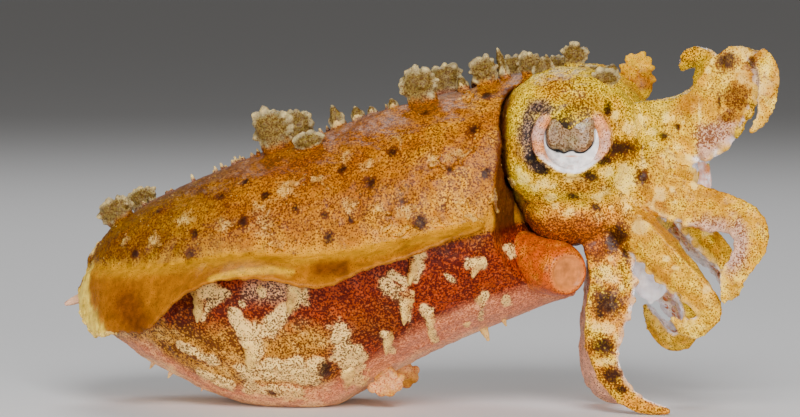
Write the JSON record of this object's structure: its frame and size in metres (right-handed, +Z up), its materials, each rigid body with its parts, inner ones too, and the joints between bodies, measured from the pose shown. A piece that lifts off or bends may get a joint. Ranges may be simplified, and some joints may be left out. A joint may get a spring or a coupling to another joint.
{
  "type": "stumpy-spined cuttlefish",
  "caption": "Still life-size model of a small cuttlefish resting on its belly and two leg-like arms, with raised skin papillae, rippled side fins and curled arms.",
  "frame": {"origin": "middle of the flat on which the belly rests on the floor", "axes": "+X towards the head along the body, +Z up, the animal's right side towards -Y"},
  "size_m": [0.0899, 0.0428, 0.0446],
  "materials": {
    "skin_back": "moist mottled ochre skin",
    "skin_head": "moist speckled olive-yellow skin",
    "skin_arm": "moist speckled yellow skin with white spots",
    "fin": "smooth thin amber skin",
    "funnel": "smooth orange skin with fine dots",
    "pale_flesh": "smooth pale flesh",
    "eye": "clear wet cornea over a silver iris",
    "spine": "chalky shell"
  },
  "bodies": {
    "root": {"mantle": "skin_back", "fin_right": "fin", "fin_left": "fin", "tail_spine": "spine", "walking_flap_right": "pale_flesh", "walking_flap_left": "pale_flesh", "head": "skin_head", "eye_right": "eye", "eye_left": "eye", "funnel": "funnel", "mouth": "pale_flesh", "tentacle_right": "pale_flesh", "tentacle_left": "pale_flesh", "arm_1_right_base": "skin_arm", "arm_1_right_middle": "skin_arm", "arm_1_right_tip": "skin_arm", "arm_2_right_base": "skin_arm", "arm_2_right_middle": "skin_arm", "arm_2_right_tip": "skin_arm", "arm_3_right_base": "skin_arm", "arm_3_right_middle": "skin_arm", "arm_3_right_tip": "skin_arm", "arm_4_right_base": "skin_arm", "arm_4_right_middle": "skin_arm", "arm_4_right_tip": "skin_arm", "arm_1_left_base": "skin_arm", "arm_1_left_middle": "skin_arm", "arm_1_left_tip": "skin_arm", "arm_2_left_base": "skin_arm", "arm_2_left_middle": "skin_arm", "arm_2_left_tip": "skin_arm", "arm_3_left_base": "skin_arm", "arm_3_left_middle": "skin_arm", "arm_3_left_tip": "skin_arm", "arm_4_left_base": "skin_arm", "arm_4_left_middle": "skin_arm", "arm_4_left_tip": "skin_arm"}
  },
  "joints": []
}
